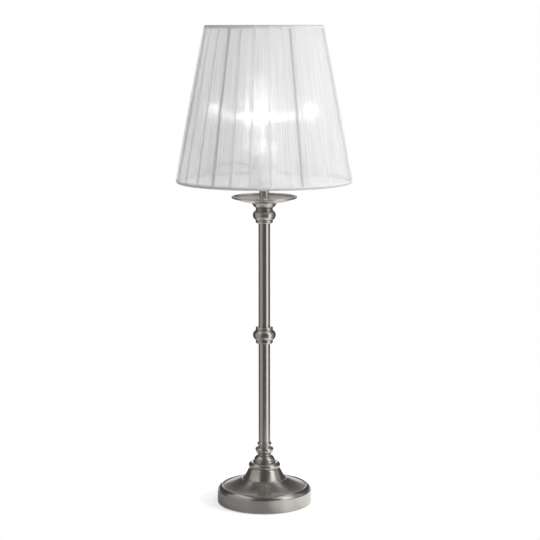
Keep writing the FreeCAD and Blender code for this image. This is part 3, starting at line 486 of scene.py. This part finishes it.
# The studio: a white room with an upright soft box on each side. Only reflections see its grey
# cards, the card on the table and the glowing face. These give the nickel its dark edges, its grey
# stripes and its bright line. The card on the table carries painted shade, graded from grey on
# the left to white on the right.
card_reach, card_foot = 2.2, -1.6       # how far out the upright cards stand, and from what height
card_greys = {"light_grey_card": "#b4b3b1", "mid_grey_card": "#5c5b59", "dark_grey_card": "#504f4e"}
cards = {                               # degrees right of the camera, top edge and colour
    "card_front": (-34, 44, 2.6, "mid_grey_card"),
    "card_left": (-104, -34, 2.1, "light_grey_card"),
    "card_right": (80, 112, 2.6, "light_grey_card"),
    "card_far_left": (-170, -104, 2.6, "dark_grey_card"),
    "card_far_right": (112, 170, 2.6, "dark_grey_card"),
}
roof_left, roof_right, roof_height = -1.1, 0.9, 2.6
glow_turns = (50, 72)                   # degrees right of the camera, for the glowing face
glow_reach, glow_top, glow_strength = 2.1, 3.4, 1.7
# The table card's grey on the left and white on the right is painted shade: the table as the nickel
# sees it, darker away from the main light on the right.
floor_turns = (-120, 60)                # the same for the card on the table, and its two edges
floor_reaches, floor_height = (0.24, 0.056), 0.001
floor_shade_greys = (0.38, 1.0)              # its whiteness on the left and on the right
floor_grading = (0.0, 0.045)            # where it starts and ends to change, right of the middle
box_height = 0.4                        # of the middle of a soft box
room_light = 0.72                       # the white room's strength as a light


def reflected_card(name, material, points, faces):
    """A backdrop card of that material, which only glossy rays see."""
    mesh = bpy.data.meshes.new(name)
    mesh.from_pydata(points, [], faces)
    mesh.materials.append(material)
    card = bpy.data.objects.new(name, mesh)
    bpy.context.scene.collection.objects.link(card)
    card.visible_camera = card.visible_diffuse = card.visible_shadow = False
    card.visible_transmission = False


def arc_strip(turns, reaches, heights, columns=24):
    """A strip between two arcs round the lamp: at t degrees right of the camera, an arc stands at
    reach sin t across, reach cos t towards the camera, and its height."""
    turn = np.radians(np.linspace(*turns, columns))
    arcs = [np.stack([reach * np.sin(turn), -reach * np.cos(turn), turn * 0 + height], axis=-1)
            for reach, height in zip(reaches, heights)]
    i = np.arange(columns - 1)
    return np.concatenate(arcs), np.stack([i, i + 1, i + columns + 1, i + columns], axis=-1)


card_papers = {}
for name, colour in card_greys.items():
    card_papers[name], tree = new_material(name)
    face = add(tree, "BsdfDiffuse", {"Color": linear(colour)}).outputs[0]
    add(tree, "OutputMaterial", {"Surface": face})
for name, (first, last, top, grey) in cards.items():
    reflected_card(name, card_papers[grey],
                   *arc_strip((first, last), (card_reach, card_reach), (card_foot, top)))
glowing, tree = new_material("soft_box_face")
face = add(tree, "Emission", {"Color": linear("#ffffff"), "Strength": glow_strength}).outputs[0]
add(tree, "OutputMaterial", {"Surface": face})
reflected_card("card_glow", glowing,
               *arc_strip(glow_turns, (glow_reach, glow_reach), (card_foot, glow_top)))
# Painted shade for the nickel's reflection of the table: grey on the left, grading to white on the
# right.
floor_shade_paint, tree = new_material("floor_card_painted_shade")
right = add(tree, "SeparateXYZ", {"Vector": add(tree, "TexCoord").outputs["Object"]}).outputs["X"]
shade = add(tree, "MapRange", {"Value": right, "From Min": floor_grading[0],
                               "From Max": floor_grading[1], "To Min": floor_shade_greys[0],
                               "To Max": floor_shade_greys[1]},
            interpolation_type="SMOOTHSTEP").outputs[0]
face = add(tree, "BsdfDiffuse", {"Color": shade}).outputs[0]
add(tree, "OutputMaterial", {"Surface": face})
reflected_card("card_floor", floor_shade_paint,
               *arc_strip(floor_turns, floor_reaches, (floor_height, floor_height), columns=48))
roof = [(x, y, roof_height) for x, y in ((roof_left, -card_reach), (roof_right, -card_reach),
                                         (roof_right, card_reach), (roof_left, card_reach))]
reflected_card("card_top", card_papers["dark_grey_card"], roof, [(0, 1, 2, 3)])

boxes = {                               # degrees right of the camera, reach, width, height, watts
    "soft_box_right": (70, 2.0, 1.8, 2.4, 76.0),
    "soft_box_left": (-60, 2.0, 1.4, 2.4, 4.0),
}
for name, (turn, reach, width, height, watts) in boxes.items():
    light = bpy.data.lights.new(name, "AREA")
    light.shape = "RECTANGLE"
    light.size, light.size_y = width, height
    light.energy = watts
    box = bpy.data.objects.new(name, light)
    turn = math.radians(turn)
    stand = (reach * math.sin(turn), -reach * math.cos(turn), box_height)
    box.matrix_world = (Matrix.Translation(stand) @ Matrix.Rotation(turn, 4, "Z")
                        @ Matrix.Rotation(math.pi / 2, 4, "X"))
    box.visible_camera = box.visible_glossy = False
    bpy.context.scene.collection.objects.link(box)

world = bpy.data.worlds.new("white_studio")
bpy.context.scene.world = world
world.use_nodes = True
tree = world.node_tree
tree.nodes.clear()
strength = add(tree, "MapRange", {"Value": background_rays(tree), "To Min": room_light,
                                  "To Max": 1.0}).outputs[0]
sky = add(tree, "Background", {"Color": linear("#ffffff"), "Strength": strength})
add(tree, "OutputWorld", {"Surface": sky.outputs[0]})


# The camera stands 1.9 m in front of the lamp and 7 mm to the right of its middle, level with the
# top of the shade. It looks down at the column through a long lens.
camera_reach, camera_side, camera_height = 1.9, 0.00664, 0.56
camera_down = 8.446                     # degrees
camera_lens = 110.0                     # millimetres
sight = bpy.data.cameras.new("camera")
sight.lens = camera_lens
camera = bpy.data.objects.new("camera", sight)
camera.matrix_world = (Matrix.Translation((camera_side, -camera_reach, camera_height))
                       @ Matrix.Rotation(math.radians(90 - camera_down), 4, "X"))
bpy.context.scene.collection.objects.link(camera)
bpy.context.scene.camera = camera
bpy.context.scene.view_settings.view_transform = "Standard"
